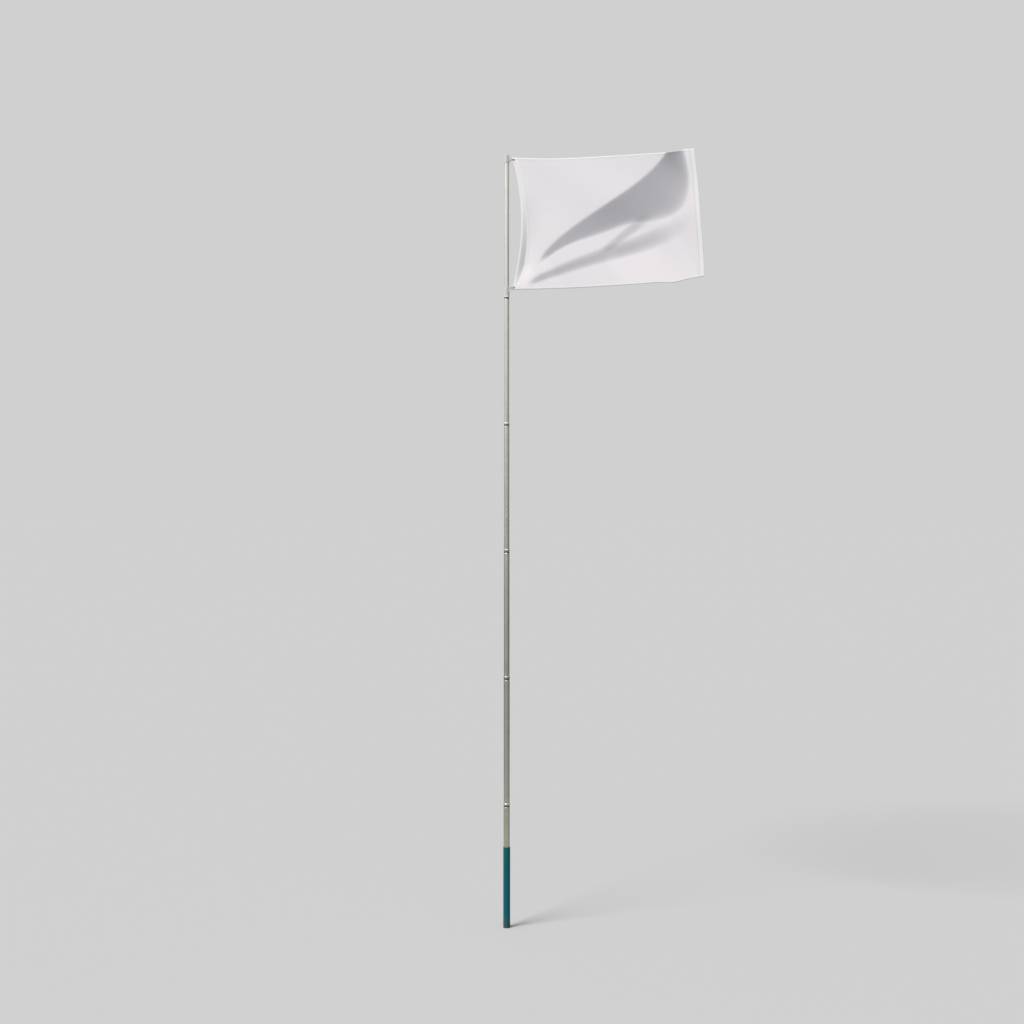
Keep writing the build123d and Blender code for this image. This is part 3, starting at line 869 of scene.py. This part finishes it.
# Stitch row: thread along a line, Offset metres away, in stitches of Pitch with a small gap between them
stitch_pitch = 0.0036
thread_full, thread_edge = 0.0004, 0.0009
stitch_full, stitch_end = 0.34, 0.42
stitch_row, given, result = effect(
    "stitch_row",
    [("Offset", "Float", 0.0), ("Along", "Float", 0.0), ("Pitch", "Float", stitch_pitch)],
    [("Mask", "Float")],
)
aside = calculated(stitch_row, "ABSOLUTE", given["Offset"])
on_row = ramp(stitch_row, aside, low=thread_full, high=thread_edge, start=1.0, end=0.0)
count = calculated(stitch_row, "DIVIDE", given["Along"], given["Pitch"])
phase = calculated(stitch_row, "FRACT", count)
mid_stitch = calculated(stitch_row, "SUBTRACT", phase, 0.5)
from_middle = calculated(stitch_row, "ABSOLUTE", mid_stitch)
on_stitch = ramp(stitch_row, from_middle, low=stitch_full, high=stitch_end, start=1.0, end=0.0)
thread_mask = calculated(stitch_row, "MULTIPLY", on_row, on_stitch)
stitch_row.links.new(thread_mask, result["Mask"])

# Weave: two sets of threads, Pitch metres apart, that pass over and under each other
weave_pitch = 0.0008
weave, given, result = effect(
    "weave",
    [("Along", "Float", 0.0), ("Across", "Float", 0.0), ("Pitch", "Float", weave_pitch)],
    [("Height", "Float")],
)
threads = []
for way in ("Along", "Across"):
    turns = calculated(weave, "DIVIDE", given[way], given["Pitch"])
    radians = calculated(weave, "MULTIPLY", turns, 2 * math.pi)
    threads.append(calculated(weave, "SINE", radians))
crossing = calculated(weave, "MULTIPLY", threads[0], threads[1])
weave_height = calculated(weave, "MULTIPLY_ADD", crossing, 0.5, 0.5)
weave.links.new(weave_height, result["Height"])

# Polyester: white in the field and a warmer white where the hems lie in layers, with two rows of stitching
# along hoist and fly and one along top and bottom
field_white = (0.855, 0.825, 0.845, 1)
field_soiled = (0.83, 0.80, 0.82, 1)
hem_white = (0.875, 0.868, 0.860, 1)
rim_white_and_highlight = (0.94, 0.935, 0.925, 1)
pucker_painted_shade = (0.77, 0.765, 0.76, 1)
thread_grey = (0.70, 0.70, 0.70, 1)
seam_fade = 0.0005
rim_width, rim_fade = 0.006, 0.003
pucker_inset, pucker_half_width, pucker_fade = 0.006, 0.002, 0.003
stitch_height = 2.5
seam_inset = 0.003
hem_seam_inset = 0.0025
hoist_row_inset = 0.005
fly_row_inset = 0.010
flag_polyester, tree, fabric = finish(
    "flag_polyester", Metallic=0.0, Roughness=0.82, IOR=1.45, Sheen_Weight=0.25, Sheen_Roughness=0.5
)
flat_place = add_node(tree, "UVMap", uv_map="flat").outputs["UV"]
metres = add_node(
    tree, "VectorMath", {0: flat_place, 1: (flat_length, flat_width, 0.0)}, operation="MULTIPLY"
).outputs["Vector"]
parts = add_node(tree, "SeparateXYZ", {"Vector": metres}).outputs
from_hoist = parts["X"]
from_bottom = parts["Y"]
from_fly = calculated(tree, "SUBTRACT", flat_length, from_hoist)
from_top = calculated(tree, "SUBTRACT", flat_width, from_bottom)


def greatest(tree, masks):
    """The greatest of several masks, taken one after another."""
    most = masks[0]
    for mask in masks[1:]:
        most = calculated(tree, "MAXIMUM", most, mask)
    return most


def near_edge(distance, width, fade):
    """A mask that is 1 within width of an edge of the flag and fades to 0 over the next fade metres."""
    return ramp(tree, distance, low=width, high=width + fade, start=1.0, end=0.0)


rows = []
for edge, along_edge, inset in (
    (from_hoist, from_bottom, header_width - seam_inset),
    (from_hoist, from_bottom, hoist_row_inset),
    (from_fly, from_bottom, fly_hem_width - seam_inset),
    (from_fly, from_bottom, fly_hem_width - fly_row_inset),
    (from_bottom, from_hoist, hem_width - hem_seam_inset),
    (from_top, from_hoist, hem_width - hem_seam_inset),
):
    offset = calculated(tree, "SUBTRACT", edge, inset)
    rows.append(use_effect(tree, stitch_row, Offset=offset, Along=along_edge)["Mask"])
stitches = greatest(tree, rows)
hems = (
    (from_hoist, header_width), (from_fly, fly_hem_width), (from_bottom, hem_width), (from_top, hem_width)
)
layered = greatest(tree, [near_edge(distance, width, seam_fade) for distance, width in hems])

# Painted shade: a grey line where the seam of the fly hem puckers. The rims of hoist and fly are lighter,
# partly for the cloth turned in there and partly as a painted highlight along the edge.
pucker_line = fly_hem_width - pucker_inset
off_pucker = calculated(tree, "SUBTRACT", from_fly, pucker_line)
pucker_gap = calculated(tree, "ABSOLUTE", off_pucker)
# Mask of the pucker's painted shade: a grey line just inside the fly hem
pucker_shade_mask = near_edge(pucker_gap, pucker_half_width, pucker_fade)
# Rims of hoist and fly: lighter for the turned-in cloth, and partly a painted highlight along the edge
turned_in_and_highlight = greatest(tree, [near_edge(distance, rim_width, rim_fade) for distance in (from_hoist, from_fly)])
soiling = use_effect(tree, weathering, Clean=field_white, Stain=field_soiled, Amount=0.6, Size=3.5)
with_hems = mixed(tree, layered, soiling["Color"], hem_white)
with_rim_highlights = mixed(tree, turned_in_and_highlight, with_hems, rim_white_and_highlight)
with_pucker_shade = mixed(tree, pucker_shade_mask, with_rim_highlights, pucker_painted_shade)
tree.links.new(mixed(tree, stitches, with_pucker_shade, thread_grey), fabric["Base Color"])
woven = use_effect(tree, weave, Along=from_hoist, Across=from_bottom)["Height"]
raised = calculated(tree, "MULTIPLY_ADD", stitches, stitch_height, woven)
textured(tree, fabric, raised, strength=0.35, depth=0.0002)
dressed(flag, flag_polyester, "flag_cloth", "flag", "flag_cloth")
